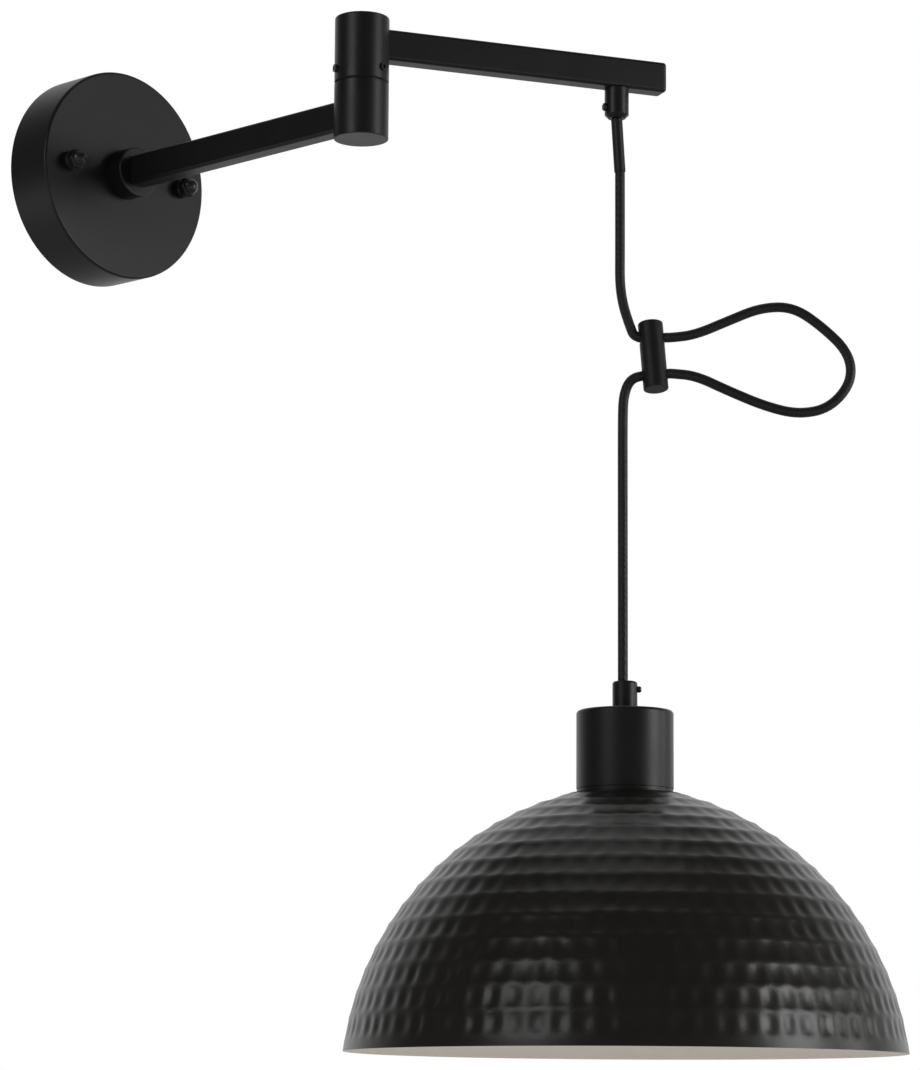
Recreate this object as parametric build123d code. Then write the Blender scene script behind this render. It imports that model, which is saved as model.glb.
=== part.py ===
from build123d import *
import os
from math import atan2, cos, degrees, pi, radians, sin, sqrt, tan

# Hanging wall light with a folding arm. Millimetres. The wall is the plane Y = 0, the light
# stands out along -Y, +Z is up, and the origin is the centre of the wall plate's back face.

# Fits shared by every piece
RUNNING = 0.05          # radial clearance of a pivot
EASY = 0.1              # radial clearance of a push fit or a clearance hole
JOINT_GAP = 0.02        # between a shaped tube end and the round it is welded to

# Canopy and what hangs it on the wall
canopy_radius = 60.0
canopy_depth = 30.0
canopy_wall = 1.5
canopy_edge = 1.5
plate_width = 104.0
plate_height = 44.0
plate_thick = 2.0
plate_corner = 9.0
screw_spacing = 60.0
slot_length = 14.0
slot_width = 5.0
cable_entry_radius = 7.0
cable_entry_height = 12.5
stud_spacing = 84.4
stud_radius = 2.5
stud_nut_flats = 8.0
stud_nut_thick = 4.0
spacer_radius = 5.5
spacer_thick = 4.0
cap_nut_flats = 10.0
cap_nut_hex = 4.5
cap_nut_dome = 4.5
block_size = (27.0, 14.0, 12.0)
block_height = -11.0
earth_place = (-30.0, -14.0)

# Arm tubes
tube_width = 12.0
tube_height = 17.0
tube_wall = 1.5
tube_corner = 2.0
collar_radius = 14.25
collar_length = 11.5
socket_depth = 6.0
nipple_radius = 5.0
nipple_bore = 3.75
nipple_nut_flats = 14.0
nipple_nut_thick = 3.5
washer_thick = 0.8
end_cap_thick = 3.0
end_cap_edge = 2.0

# Elbow
elbow_distance = 221.0
barrel_radius = 14.75
lower_barrel_bottom = -14.3
seam_height = 16.2
seam_gap = 0.8
upper_barrel_top = 53.2
barrel_floor = 3.0
shaft_radius = 9.0
shaft_bore = 5.0
shaft_bottom = 4.0
shaft_top = 31.0
set_screw_height = 23.7
set_screw_radius = 2.1
set_screw_proud = 1.2
groove_depth = 0.9
arm_angle = -25.24
upper_arm_height = 38.9
upper_arm_length = 178.0
grip_distance = 150.0

# Cord, its sleeve and its adjuster
cord_radius = 2.75
arm_grip_radius = 6.7
arm_grip_bottom = 13.5
grip_chamfer = 2.0
arm_screw_height = 19.5
sleeve_radius = 3.15
sleeve_length = 30.3
pivot_drop = 0.5        # each swing pivot lies this far below the mouth above it
cord_plane_angle = -46.5
shade_offset = 4.3      # the shade's axis lies this far from the grip's, along the cord plane
sleeve_lean = 1.8
adjuster_radius = 6.9
adjuster_length = 39.0
adjuster_centre = (15.6, 0.0, -120.7)
adjuster_lean = 10.0
adjuster_tilt = 4.2
adjuster_hole_radius = 3.5
hole_spacing = 21.2

# Lamp head
lamp_cord_offset = -1.1
lamp_grip_radius = 6.75
lamp_grip_top = -300.0
cup_radius = 26.2
cup_top = -316.0
cup_height = 42.5
cup_wall = 1.2
cup_edge = 2.0
disc_radius = 31.0
disc_thick = 1.1
hub_radius = 25.9
hub_height = 2.6
holder_radius = 20.0
holder_length = 62.0
bulb_thread_radius = 13.3
bulb_thread_length = 18.5
shade_radius = 150.0
shade_height = 136.5
shade_neck_radius = 34.5
shade_curve_radius = 161.7
shade_wall = 1.0
shade_rim_band = 5.4
shade_rows = 14
dent_step = 0.15        # each row of dents is this much deeper than the row below it
dent_limit = 1.3
shade_ring_radius = 28.0
shade_ring_thick = 6.0

# Places worked out from the sizes above
elbow = Vector(0, -elbow_distance, 0)
arm_direction = Vector(cos(radians(arm_angle)), sin(radians(arm_angle)), 0)
upper_barrel_bottom = seam_height + seam_gap
arm_underside = upper_arm_height - tube_height / 2
grip_axis = elbow + arm_direction * grip_distance
across = Vector(cos(radians(cord_plane_angle)), sin(radians(cord_plane_angle)), 0)
away = Vector(-across.Y, across.X, 0)
shade_axis = grip_axis + across * shade_offset
neck_pivot = Vector(grip_axis.X, grip_axis.Y, arm_grip_bottom - pivot_drop)
sleeve_end_across = sleeve_lean - shade_offset
cord_pivot = shade_axis + across * sleeve_end_across + Vector(0, 0, neck_pivot.Z - sleeve_length)
cord_bore = cord_radius + EASY
shade_top = cup_top - cup_height - hub_height - disc_thick
shade_rim = shade_top - shade_height
OUT = Vector(0, -1, 0)
UP = Vector(0, 0, 1)


def hang(point):
    """A place beside the shade's axis: across the cord's plane, away from it, and up."""
    return shade_axis + across * point[0] + away * point[1] + UP * point[2]


# The cord's route, as chosen points: across, away, up
hole_half = hole_spacing / 2
lean_away = hole_half * sin(radians(adjuster_lean))
loop_route = [
    (14.9, lean_away, -110.2), (25, 1.8, -109.8), (38.5, 1.7, -108.2), (57, 1.5, -100.2),
    (74.5, 1.2, -92.8), (92.5, 0.8, -92.2), (108.5, 0.4, -103.5), (122.8, 0, -118),
    (124.4, -0.4, -134), (112.3, -0.8, -149), (95, -1.2, -152.8), (77, -1.5, -148.6),
    (56, -1.7, -139.8), (39, -1.8, -131.8), (26, -1.85, -130.6), (16.3, -lean_away, -131.2),
]
upper_route = [
    (sleeve_end_across, 0, -22.0), (sleeve_end_across, 0, -62), (-2.6, 0.4, -80),
    (-0.8, 0.9, -92), (2.6, 1.6, -102.5), (14.9, lean_away, -110.2),
]
lower_route = [
    (16.3, -lean_away, -131.2), (9.5, -1.8, -131.7), (2.5, -1.6, -134.5),
    (-0.8, -0.9, -143.5), (lamp_cord_offset, 0, -158), (lamp_cord_offset, 0, -308.5),
]


def rod(radius, start, end):
    """A round bar, or the cutter for a hole, between two points."""
    along = Vector(end) - Vector(start)
    return extrude(Plane(origin=start, z_dir=along) * Circle(radius), amount=along.length)


def hexagon(flats, start, end):
    """A six-sided bar between two points."""
    along = Vector(end) - Vector(start)
    section = Plane(origin=start, z_dir=along) * RegularPolygon(flats / 2, 6, major_radius=False)
    return extrude(section, amount=along.length)


def turned(profile, centre=Vector(0, 0, 0)):
    """A turned piece about a vertical axis, from its half section as (radius, height)."""
    face = make_face(Polyline(*profile, close=True))
    return Pos(centre.X, centre.Y, 0) * revolve(Plane.XZ * face, Axis.Z)


def out_from_wall(x, z, depth):
    return Vector(x, -depth, z)


def rims(shape, axis, last=False):
    """The round edges of a piece, in order along an axis; one end of them."""
    edges = shape.edges().filter_by(GeomType.CIRCLE).sort_by(axis)
    return edges[-1] if last else edges[0]


def corner_radii(points):
    """Radius of each arc of a cord's tube: as large as its two runs allow."""
    radii = []
    for before, corner, after in zip(points, points[1:], points[2:]):
        arriving = corner - before
        leaving = after - corner
        turn = arriving.get_angle(leaving)
        shorter = min(arriving.length, leaving.length)
        radii.append(0.45 * shorter / tan(radians(turn / 2)))
    return radii


def tube_along(points, radius, name, radii=None):
    """A solid cord of straight runs and tangent arcs."""
    radii = radii or corner_radii(points)
    path = FilletPolyline(*points, radius=radii)
    section = Plane(origin=path @ 0, z_dir=path % 0) * Circle(radius)
    solid = sweep(section, path=path)
    share = solid.volume / (pi * radius**2 * path.length)
    print(name, "radii", [round(r, 1) for r in radii], "length", round(path.length, 1),
          "volume share", round(share, 4))
    return solid


def group(*solids):
    """Identical or joined pieces that share one node as separate solids."""
    return Compound(children=list(solids))


def save(name, shape):
    export_step(shape, f"parts/{name}.step")


os.makedirs("parts", exist_ok=True)

# ---- Wall plate, studs and what is behind the canopy -------------------------------------------
stud_places = [-stud_spacing / 2, stud_spacing / 2]


def make_wall_plate():
    face = RectangleRounded(plate_width, plate_height, plate_corner)
    for side in (-1, 1):
        face -= Pos(side * screw_spacing / 2, 0) * SlotOverall(slot_length, slot_width)
        face -= Pos(side * stud_spacing / 2, 0) * Circle(stud_radius + EASY)
    face -= Pos(0, cable_entry_height) * Circle(cable_entry_radius)
    face -= Pos(*earth_place) * Circle(stud_radius * 0.8 + EASY)
    face -= Pos(0, block_height) * Circle(1.5 + EASY)
    return extrude(Plane.XZ * face, amount=plate_thick)


def make_stud(x):
    flange_depth = 1.2
    tip = canopy_depth + spacer_thick + cap_nut_hex + 2.0
    stud = rod(stud_radius, out_from_wall(x, 0, 0.1), out_from_wall(x, 0, tip))
    flange = rod(stud_radius + 1.5, out_from_wall(x, 0, plate_thick),
                 out_from_wall(x, 0, plate_thick + flange_depth))
    return stud + flange


def make_stud_nut(x):
    start = plate_thick + 1.2
    nut = hexagon(stud_nut_flats, out_from_wall(x, 0, start), out_from_wall(x, 0, start + stud_nut_thick))
    return nut - rod(stud_radius + EASY, out_from_wall(x, 0, start - 1), out_from_wall(x, 0, start + 9))


def make_spacer(x):
    start = out_from_wall(x, 0, canopy_depth)
    end = out_from_wall(x, 0, canopy_depth + spacer_thick)
    ring = rod(spacer_radius, start, end)
    ring = chamfer(ring.edges().filter_by(GeomType.CIRCLE), 0.5)
    return ring - rod(stud_radius + EASY, start, end)


def make_cap_nut(x):
    start = canopy_depth + spacer_thick
    middle = start + cap_nut_hex
    dome_radius = cap_nut_flats / 2 - 0.2
    body = hexagon(cap_nut_flats, out_from_wall(x, 0, start), out_from_wall(x, 0, middle))
    ball = Pos(out_from_wall(x, 0, middle + cap_nut_dome - dome_radius)) * Sphere(dome_radius)
    dome = split(ball, bisect_by=Plane(origin=out_from_wall(x, 0, middle), z_dir=OUT), keep=Keep.TOP)
    hole = rod(stud_radius + EASY, out_from_wall(x, 0, start), out_from_wall(x, 0, middle + 2.5))
    return body + dome - hole


wire_hole = 1.2


def make_terminal_block():
    width, height, depth = block_size
    start = Plane(origin=(0, -plate_thick, block_height), x_dir=(1, 0, 0), z_dir=(0, -1, 0))
    block = extrude(start * RectangleRounded(width, height, 1.0), amount=depth)
    for pole in (-1, 0, 1):
        x = pole * width / 3
        wire_depth = plate_thick + depth * 0.4
        if pole:
            low = out_from_wall(x, block_height - height, wire_depth)
            high = out_from_wall(x, block_height + height, wire_depth)
            block -= rod(wire_hole, low, high)
        foot = wire_depth - wire_hole - 0.6 if pole else plate_thick - 1
        block -= rod(1.5 + EASY, out_from_wall(x, block_height, foot),
                     out_from_wall(x, block_height, plate_thick + depth + 1))
    return block


def make_terminal_screws():
    """One clamp screw a pole, and in the middle the longer one that holds the block."""
    width, _, depth = block_size
    screws = []
    for pole in (-1, 0, 1):
        x = pole * width / 3
        foot = 0.3 if pole == 0 else plate_thick + depth * 0.4
        head = plate_thick + depth - 1.0
        screw = rod(1.5, out_from_wall(x, block_height, foot), out_from_wall(x, block_height, head))
        slot = Pos(x, -head, block_height) * Box(3.4, 1.2, 0.6)
        screws.append(screw - slot)
    return group(*screws)


def make_earth_screw():
    x, z = earth_place
    shank = rod(stud_radius * 0.8, out_from_wall(x, z, 0.1), out_from_wall(x, z, 6.5))
    head = rod(3.5, out_from_wall(x, z, 4.3), out_from_wall(x, z, 6.8))
    cross = Pos(x, -6.8, z) * (Box(4.2, 1.6, 0.9) + Box(0.9, 1.6, 4.2))
    return shank + head - cross


def make_earth_washer():
    x, z = earth_place
    start = out_from_wall(x, z, plate_thick)
    end = out_from_wall(x, z, 4.3)
    return rod(4.0, start, end) - rod(stud_radius * 0.8 + EASY, start, end)


save("wall_plate", make_wall_plate())
save("canopy_studs", group(*[make_stud(x) for x in stud_places]))
save("stud_nuts", group(*[make_stud_nut(x) for x in stud_places]))
save("canopy_spacers", group(*[make_spacer(x) for x in stud_places]))
save("canopy_cap_nuts", group(*[make_cap_nut(x) for x in stud_places]))
save("terminal_block", make_terminal_block())
save("terminal_screws", make_terminal_screws())
save("earth_screw", make_earth_screw())
save("earth_washer", make_earth_washer())

# ---- Canopy, collar and the hollow nipple that clamps them -------------------------------------
canopy_inside = canopy_depth - canopy_wall
socket_floor = canopy_depth + collar_length - socket_depth
nipple_end = canopy_inside - washer_thick - nipple_nut_thick - 2.0


def make_canopy():
    shell = rod(canopy_radius, out_from_wall(0, 0, 0), out_from_wall(0, 0, canopy_depth))
    shell = fillet(rims(shell, Axis.Y), canopy_edge)
    shell -= rod(canopy_radius - canopy_wall, out_from_wall(0, 0, 0), out_from_wall(0, 0, canopy_inside))
    shell -= rod(nipple_radius + EASY, out_from_wall(0, 0, 1), out_from_wall(0, 0, canopy_depth + 1))
    for x in stud_places:
        shell -= rod(stud_radius + 0.3, out_from_wall(x, 0, 1), out_from_wall(x, 0, canopy_depth + 1))
    return shell


def make_collar():
    face = canopy_depth + collar_length
    collar = rod(collar_radius, out_from_wall(0, 0, canopy_depth), out_from_wall(0, 0, face))
    collar = fillet(rims(collar, Axis.Y), 0.8)
    seat = Plane(origin=out_from_wall(0, 0, socket_floor), x_dir=(1, 0, 0), z_dir=OUT)
    socket = RectangleRounded(tube_width + 2 * JOINT_GAP, tube_height + 2 * JOINT_GAP, tube_corner)
    collar -= extrude(seat * socket, amount=socket_depth + 1)
    hole = rod(nipple_radius + EASY, out_from_wall(0, 0, canopy_depth - 1), out_from_wall(0, 0, face))
    return collar - hole


def make_nipple():
    start = out_from_wall(0, 0, nipple_end)
    end = out_from_wall(0, 0, socket_floor - 0.2)
    return rod(nipple_radius, start, end) - rod(nipple_bore, start, end)


def make_nipple_nut():
    start = out_from_wall(0, 0, nipple_end + 2.0)
    end = out_from_wall(0, 0, canopy_inside - washer_thick)
    return hexagon(nipple_nut_flats, start, end) - rod(nipple_radius + EASY, start, end)


def make_toothed_washer():
    start = out_from_wall(0, 0, canopy_inside - washer_thick)
    end = out_from_wall(0, 0, canopy_inside)
    ring = rod(9.0, start, end) - rod(nipple_radius + EASY, start, end)
    teeth = 16
    for tooth in range(teeth):
        turn = 2 * pi * tooth / teeth
        place = Vector(9.0 * cos(turn), -(canopy_inside - washer_thick / 2), 9.0 * sin(turn))
        ring -= Pos(place) * Rot(0, -degrees(turn), 0) * Box(3.0, 3.0, 0.9)
    return ring


save("canopy", make_canopy())
save("arm_collar", make_collar())
save("collar_nipple", make_nipple())
save("nipple_nut", make_nipple_nut())
save("nipple_washer", make_toothed_washer())

# ---- Arm tubes ---------------------------------------------------------------------------------
lead_hole = 4.0


def rectangular_tube(plane, length):
    outer = RectangleRounded(tube_width, tube_height, tube_corner)
    inner = RectangleRounded(tube_width - 2 * tube_wall, tube_height - 2 * tube_wall,
                             max(tube_corner - tube_wall, 0.3))
    return extrude(plane * (outer - inner), amount=length)


def make_lower_arm():
    start = Plane(origin=out_from_wall(0, 0, socket_floor + JOINT_GAP), x_dir=(1, 0, 0), z_dir=OUT)
    tube = rectangular_tube(start, elbow_distance - socket_floor)
    barrel = rod(barrel_radius + JOINT_GAP, elbow - UP * 40, elbow + UP * 40)
    return tube - barrel


def make_upper_arm():
    tube_end = upper_arm_length - end_cap_thick
    start = Plane(origin=elbow + UP * upper_arm_height, x_dir=UP.cross(arm_direction), z_dir=arm_direction)
    tube = rectangular_tube(start, tube_end)
    tube -= rod(barrel_radius + JOINT_GAP, elbow, elbow + UP * 80)
    return tube - rod(arm_neck_radius + EASY, grip_axis, grip_axis + UP * upper_arm_height)


def make_end_cap():
    tube_end = upper_arm_length - end_cap_thick
    centre = elbow + UP * upper_arm_height
    side = UP.cross(arm_direction)
    outer_face = Plane(origin=centre + arm_direction * tube_end, x_dir=side, z_dir=arm_direction)
    cap = extrude(outer_face * RectangleRounded(tube_width, tube_height, tube_corner), amount=end_cap_thick)
    front = cap.faces().sort_by(Axis(tuple(centre), tuple(arm_direction)))[-1]
    cap = fillet(front.edges(), end_cap_edge * 0.9)
    plug_size = (tube_width - 2 * tube_wall - 2 * EASY, tube_height - 2 * tube_wall - 2 * EASY)
    plug_face = Plane(origin=centre + arm_direction * (tube_end - 4), x_dir=side, z_dir=arm_direction)
    plug = RectangleRounded(*plug_size, tube_corner - tube_wall + EASY)
    return cap + extrude(plug_face * plug, amount=4.5)


arm_neck_radius = 4.0
save("lower_arm", make_lower_arm())
save("upper_arm", make_upper_arm())
save("upper_arm_end_cap", make_end_cap())

# ---- Elbow -------------------------------------------------------------------------------------
screw_angles = [arm_angle + 180, arm_angle - 60, arm_angle + 60]


def ray(angle, distance, height):
    """A place round the elbow's axis."""
    turn = radians(angle)
    return elbow + Vector(distance * cos(turn), distance * sin(turn), height)


def make_lower_barrel():
    floor = lower_barrel_bottom + barrel_floor
    body = turned([(0, lower_barrel_bottom), (barrel_radius - 0.5, lower_barrel_bottom),
                   (barrel_radius, lower_barrel_bottom + 0.5), (barrel_radius, seam_height - 0.4),
                   (barrel_radius - 0.4, seam_height), (shaft_radius + JOINT_GAP, seam_height),
                   (shaft_radius + JOINT_GAP, floor), (0, floor)], elbow)
    return body - rod(lead_hole, elbow, elbow - OUT * 20)


def make_upper_barrel():
    ceiling = upper_barrel_top - barrel_floor
    bore = shaft_radius + RUNNING
    body = turned([(bore, upper_barrel_bottom), (barrel_radius - 0.4, upper_barrel_bottom),
                   (barrel_radius, upper_barrel_bottom + 0.4), (barrel_radius, upper_barrel_top - 1),
                   (barrel_radius - 0.3, upper_barrel_top - 0.3), (barrel_radius - 1, upper_barrel_top),
                   (0, upper_barrel_top), (0, ceiling), (bore, ceiling)], elbow)
    body -= rod(lead_hole, elbow + UP * upper_arm_height,
                elbow + UP * upper_arm_height + arm_direction * 20)
    for angle in screw_angles:
        body -= rod(set_screw_radius + JOINT_GAP, ray(angle, 4, set_screw_height),
                    ray(angle, 20, set_screw_height))
    return body


def make_shaft():
    groove = shaft_radius - groove_depth
    half = set_screw_radius + 0.3
    return turned([(shaft_bore, shaft_bottom), (shaft_radius, shaft_bottom),
                   (shaft_radius, set_screw_height - half), (groove, set_screw_height - half),
                   (groove, set_screw_height + half), (shaft_radius, set_screw_height + half),
                   (shaft_radius, shaft_top), (shaft_bore, shaft_top)], elbow)


def make_set_screw(angle):
    tip = shaft_radius - groove_depth + 0.25
    head = barrel_radius + set_screw_proud
    screw = rod(set_screw_radius, ray(angle, tip, set_screw_height), ray(angle, head, set_screw_height))
    key = hexagon(2.0, ray(angle, head - 2, set_screw_height), ray(angle, head + 1, set_screw_height))
    return screw - key


def make_elbow_washer():
    inner = shaft_radius + 0.3
    outer = barrel_radius - 1.0
    top = upper_barrel_bottom - RUNNING
    return turned([(inner, seam_height), (outer, seam_height), (outer, top), (inner, top)], elbow)


save("elbow_lower_barrel", make_lower_barrel())
save("elbow_upper_barrel", make_upper_barrel())
save("elbow_shaft", make_shaft())
save("elbow_set_screws", group(*[make_set_screw(angle) for angle in screw_angles]))
save("elbow_washer", make_elbow_washer())

# ---- Cord grip under the arm -------------------------------------------------------------------


def make_arm_grip():
    top = arm_underside
    low = arm_grip_bottom
    radius = arm_grip_radius
    grip = turned([(cord_bore, low), (radius - grip_chamfer, low), (radius, low + grip_chamfer),
                   (radius, top), (arm_neck_radius, top), (arm_neck_radius, top + tube_wall),
                   (cord_bore, top + tube_wall)], grip_axis)
    axis_point = grip_axis + UP * arm_screw_height
    return grip - rod(1.5 + EASY, axis_point, axis_point - arm_direction * 12)


def domed_screw(axis_point, direction, tip, seat, proud, head_radius, shank_radius):
    """A small screw pointing at the axis, with a domed head standing on its seat."""
    shank = rod(shank_radius, axis_point + direction * tip, axis_point + direction * (seat + 0.3))
    head = rod(head_radius, axis_point + direction * seat, axis_point + direction * (seat + proud))
    crown = head.faces().sort_by(Axis(tuple(axis_point), tuple(direction)))[-1]
    head = fillet(crown.edges(), proud * 0.6)
    face = Plane(origin=axis_point + direction * (seat + proud), z_dir=direction)
    slot = face * Box(head_radius * 2.2, 0.6, 0.9)
    return shank + head - slot


def make_arm_screw():
    axis_point = grip_axis + UP * arm_screw_height
    return domed_screw(axis_point, arm_direction * -1, cord_radius + 0.15, arm_grip_radius, 1.6, 2.25, 1.5)


save("arm_cord_grip", make_arm_grip())
save("arm_grip_screw", make_arm_screw())

# ---- Leads inside the arm ----------------------------------------------------------------------
lead_radius = cord_radius
lead_split = 12.0
lead_turn = 7.5


def make_lower_lead():
    points = [out_from_wall(0, 0, nipple_end - 1.0), elbow, elbow + UP * lead_split]
    return tube_along(points, lead_radius, "lower lead", [lead_turn])


def make_upper_lead():
    over_grip = grip_axis + UP * upper_arm_height
    points = [elbow + UP * (lead_split + 0.3), elbow + UP * upper_arm_height, over_grip,
              grip_axis + UP * (neck_pivot.Z + cord_radius + 0.4)]
    return tube_along(points, lead_radius, "upper lead", [lead_turn, 6.5])


def make_supply_cores():
    """Two cores from the end of the lead's sheath down to the terminal block."""
    width, height, depth = block_size
    entry_depth = plate_thick + depth * 0.4
    cores = []
    for side in (-1, 1):
        x = side * width / 3
        points = [out_from_wall(side * 1.3, 0, nipple_end - 1.3),
                  out_from_wall(side * 2.0, 0.2, entry_depth + 7),
                  out_from_wall(x, 3.0, entry_depth),
                  out_from_wall(x, block_height + height / 2 - 2, entry_depth)]
        cores.append(tube_along(points, 1.0, "supply core"))
    return group(*cores)


save("lower_arm_lead", make_lower_lead())
save("upper_arm_lead", make_upper_lead())
save("supply_cores", make_supply_cores())

# ---- Neck: the stiff sleeve under the grip, with the cord in it ---------------------------------
neck_line = cord_pivot - neck_pivot
neck_direction = neck_line.normalized()


def make_neck_cord():
    end = cord_pivot - neck_direction * (cord_radius + 0.4)
    body = rod(cord_radius, neck_pivot, end)
    ball = Pos(neck_pivot) * Sphere(cord_radius)
    return body + ball


def make_sleeve():
    start = neck_pivot + neck_direction * 0.4
    end = cord_pivot - neck_direction * pivot_drop
    return rod(sleeve_radius, start, end) - rod(cord_bore, start, end)


save("cord_sleeve", make_sleeve())
save("neck_cord", make_neck_cord())

# ---- Hanging cord, loop and adjuster -----------------------------------------------------------
adjuster_axis = (UP * -cos(radians(adjuster_tilt)) + across * sin(radians(adjuster_tilt)))
adjuster_axis = adjuster_axis * cos(radians(adjuster_lean)) - away * sin(radians(adjuster_lean))
hole_direction = across * cos(radians(adjuster_tilt)) + UP * sin(radians(adjuster_tilt))


def make_adjuster():
    centre = hang(adjuster_centre)
    half = adjuster_length / 2
    body = rod(adjuster_radius, centre - adjuster_axis * half, centre + adjuster_axis * half)
    body = fillet(body.edges().filter_by(GeomType.CIRCLE), 0.7)
    for route_end, run in ((loop_route[0], loop_route[1]), (loop_route[-1], loop_route[-2])):
        middle = hang(route_end)
        body -= rod(adjuster_hole_radius, middle - hole_direction * 12, middle + hole_direction * 12)
    return body


def bore_end(route_end, exit_side, beyond=0.5):
    """The middle of a cross hole, and the point just outside it where the cord turns."""
    middle = hang(route_end)
    exit_point = middle + hole_direction * exit_side * (adjuster_radius + beyond)
    return middle, exit_point


def make_upper_run():
    start = cord_pivot
    points = [hang(p) for p in upper_route]
    points[0] = Vector(start.X, start.Y, upper_route[0][2])
    points[1] = Vector(start.X, start.Y, upper_route[1][2])
    middle, exit_point = bore_end(upper_route[-1], -1, 2.2)
    points[-1:] = [exit_point, middle - hole_direction * 0.05]
    run = tube_along(points, cord_radius, "upper run")
    head = rod(cord_radius, start, points[0])
    return run + head + Pos(start) * Sphere(cord_radius)


def make_loop():
    points = [hang(p) for p in loop_route]
    first, leaves = bore_end(loop_route[0], 1)
    last, returns = bore_end(loop_route[-1], 1)
    points[0:1] = [first, leaves]
    points[-1:] = [returns, last]
    return tube_along(points, cord_radius, "loop")


def make_lower_run():
    points = [hang(p) for p in lower_route]
    middle, leaves = bore_end(lower_route[0], -1)
    points[0:2] = [middle - hole_direction * 0.05, leaves]
    return tube_along(points, cord_radius, "lower run")


save("cord_adjuster", make_adjuster())
save("cord_upper_run", make_upper_run())
save("cord_loop", make_loop())
save("cord_lower_run", make_lower_run())

# ---- Lamp head ---------------------------------------------------------------------------------
lamp_cord_axis = hang((lamp_cord_offset, 0, 0))
tail_radius = 5.0
tail_bore = 3.4
tail_bottom = cup_top - 13.0
lamp_screw_height = -304.3


def make_lamp_grip():
    radius = lamp_grip_radius
    grip = turned([(0, lamp_grip_top), (radius - 1.5, lamp_grip_top), (radius - 0.4, lamp_grip_top - 0.5),
                   (radius, lamp_grip_top - 1.6), (radius, cup_top), (tail_radius, cup_top),
                   (tail_radius, tail_bottom), (0, tail_bottom)], shade_axis)
    grip -= rod(cord_bore, lamp_cord_axis + UP * (lamp_grip_top + 1),
                lamp_cord_axis + UP * (lamp_grip_top - 9))
    grip -= rod(tail_bore, shade_axis + UP * (lamp_grip_top - 9), shade_axis + UP * (tail_bottom - 1))
    axis_point = shade_axis + UP * lamp_screw_height
    return grip - rod(1.5 + EASY, axis_point, axis_point + across * 12)


def make_lamp_screw():
    axis_point = shade_axis + UP * lamp_screw_height
    tip = lamp_cord_offset + cord_radius + 0.15
    return domed_screw(axis_point, across, tip, lamp_grip_radius, 2.3, 1.75, 1.5)


def make_cup():
    low = cup_top - cup_height
    cup = rod(cup_radius, shade_axis + UP * low, shade_axis + UP * cup_top)
    cup = fillet(rims(cup, Axis.Z, last=True), cup_edge)
    cup -= rod(cup_radius - cup_wall, shade_axis + UP * low, shade_axis + UP * (cup_top - cup_wall))
    return cup - rod(tail_radius + EASY, shade_axis + UP * low, shade_axis + UP * (cup_top + 1))


cup_nut_thick = 3.0
holder_top = cup_top - cup_wall - cup_nut_thick
holder_bottom = cup_top - holder_length
holder_split = holder_top - 17.5
insert_bottom = holder_split - 14.0
shell_top = holder_bottom + 3.0 + bulb_thread_length


def make_cup_nut():
    top = shade_axis + UP * (cup_top - cup_wall)
    low = shade_axis + UP * holder_top
    return hexagon(nipple_nut_flats, low, top) - rod(tail_radius + EASY, low, top)


def make_holder_cap():
    return turned([(tail_radius + EASY, holder_top), (8.5, holder_top), (8.5, holder_top - 6),
                   (13, holder_top - 8), (17, holder_top - 11), (holder_radius, holder_top - 14),
                   (holder_radius, holder_split), (holder_radius - 2, holder_split),
                   (holder_radius - 2, holder_top - 14.5), (15.5, holder_top - 12.5),
                   (12, holder_top - 10), (tail_radius + EASY, holder_top - 9.2)], shade_axis)


def make_holder_body():
    bore = bulb_thread_radius + 0.9
    return turned([(bore, holder_bottom), (holder_radius - 0.6, holder_bottom),
                   (holder_radius, holder_bottom + 0.6), (holder_radius, holder_split),
                   (holder_radius - 4.5, holder_split), (holder_radius - 4.5, insert_bottom),
                   (bore, insert_bottom)], shade_axis)


def make_holder_insert():
    radius = holder_radius - 4.5 - EASY
    insert = turned([(0, insert_bottom), (radius, insert_bottom), (radius, insert_bottom + 10),
                     (0, insert_bottom + 10)], shade_axis)
    for side in (-1, 1):
        seat = shade_axis + across * side * 8.5
        insert -= rod(2.6, seat + UP * (insert_bottom + 5), seat + UP * (insert_bottom + 11))
    return insert


def make_contact_screw(side):
    seat = shade_axis + across * side * 8.5
    low = insert_bottom + 5
    screw = rod(1.5, seat + UP * low, seat + UP * (low + 5))
    screw += rod(2.5, seat + UP * (low + 2), seat + UP * (low + 4.5))
    return screw - Pos(seat + UP * (low + 5)) * Box(5.2, 0.7, 1.6)


def make_contact_shell():
    low = holder_bottom + 3.0
    outer = bulb_thread_radius + 0.85
    return turned([(bulb_thread_radius, low), (outer, low), (outer, shell_top),
                   (bulb_thread_radius, shell_top)], shade_axis)


def make_centre_contact():
    """A brass tongue under the insert, bent down towards the bulb's tip."""
    top = insert_bottom
    line = Polyline((-7, top - 0.1), (-7, top - 0.7), (-2.5, top - 0.7), (2.5, top - 3.6), (5.5, top - 3.1),
                    (5.7, top - 3.7), (2.3, top - 4.3), (-3, top - 1.3), (-7.6, top - 1.3), (-7.6, top - 0.1),
                    close=True)
    tongue = extrude(Plane.XZ * make_face(line), amount=2.5, both=True)
    return Pos(shade_axis.X, shade_axis.Y, 0) * tongue


def make_shade_disc():
    low = shade_top
    hub_top = low + disc_thick + hub_height
    inner = holder_radius + 0.2
    return turned([(inner, low), (disc_radius, low), (disc_radius, low + disc_thick),
                   (hub_radius, low + disc_thick), (hub_radius, hub_top), (inner, hub_top)], shade_axis)


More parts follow.
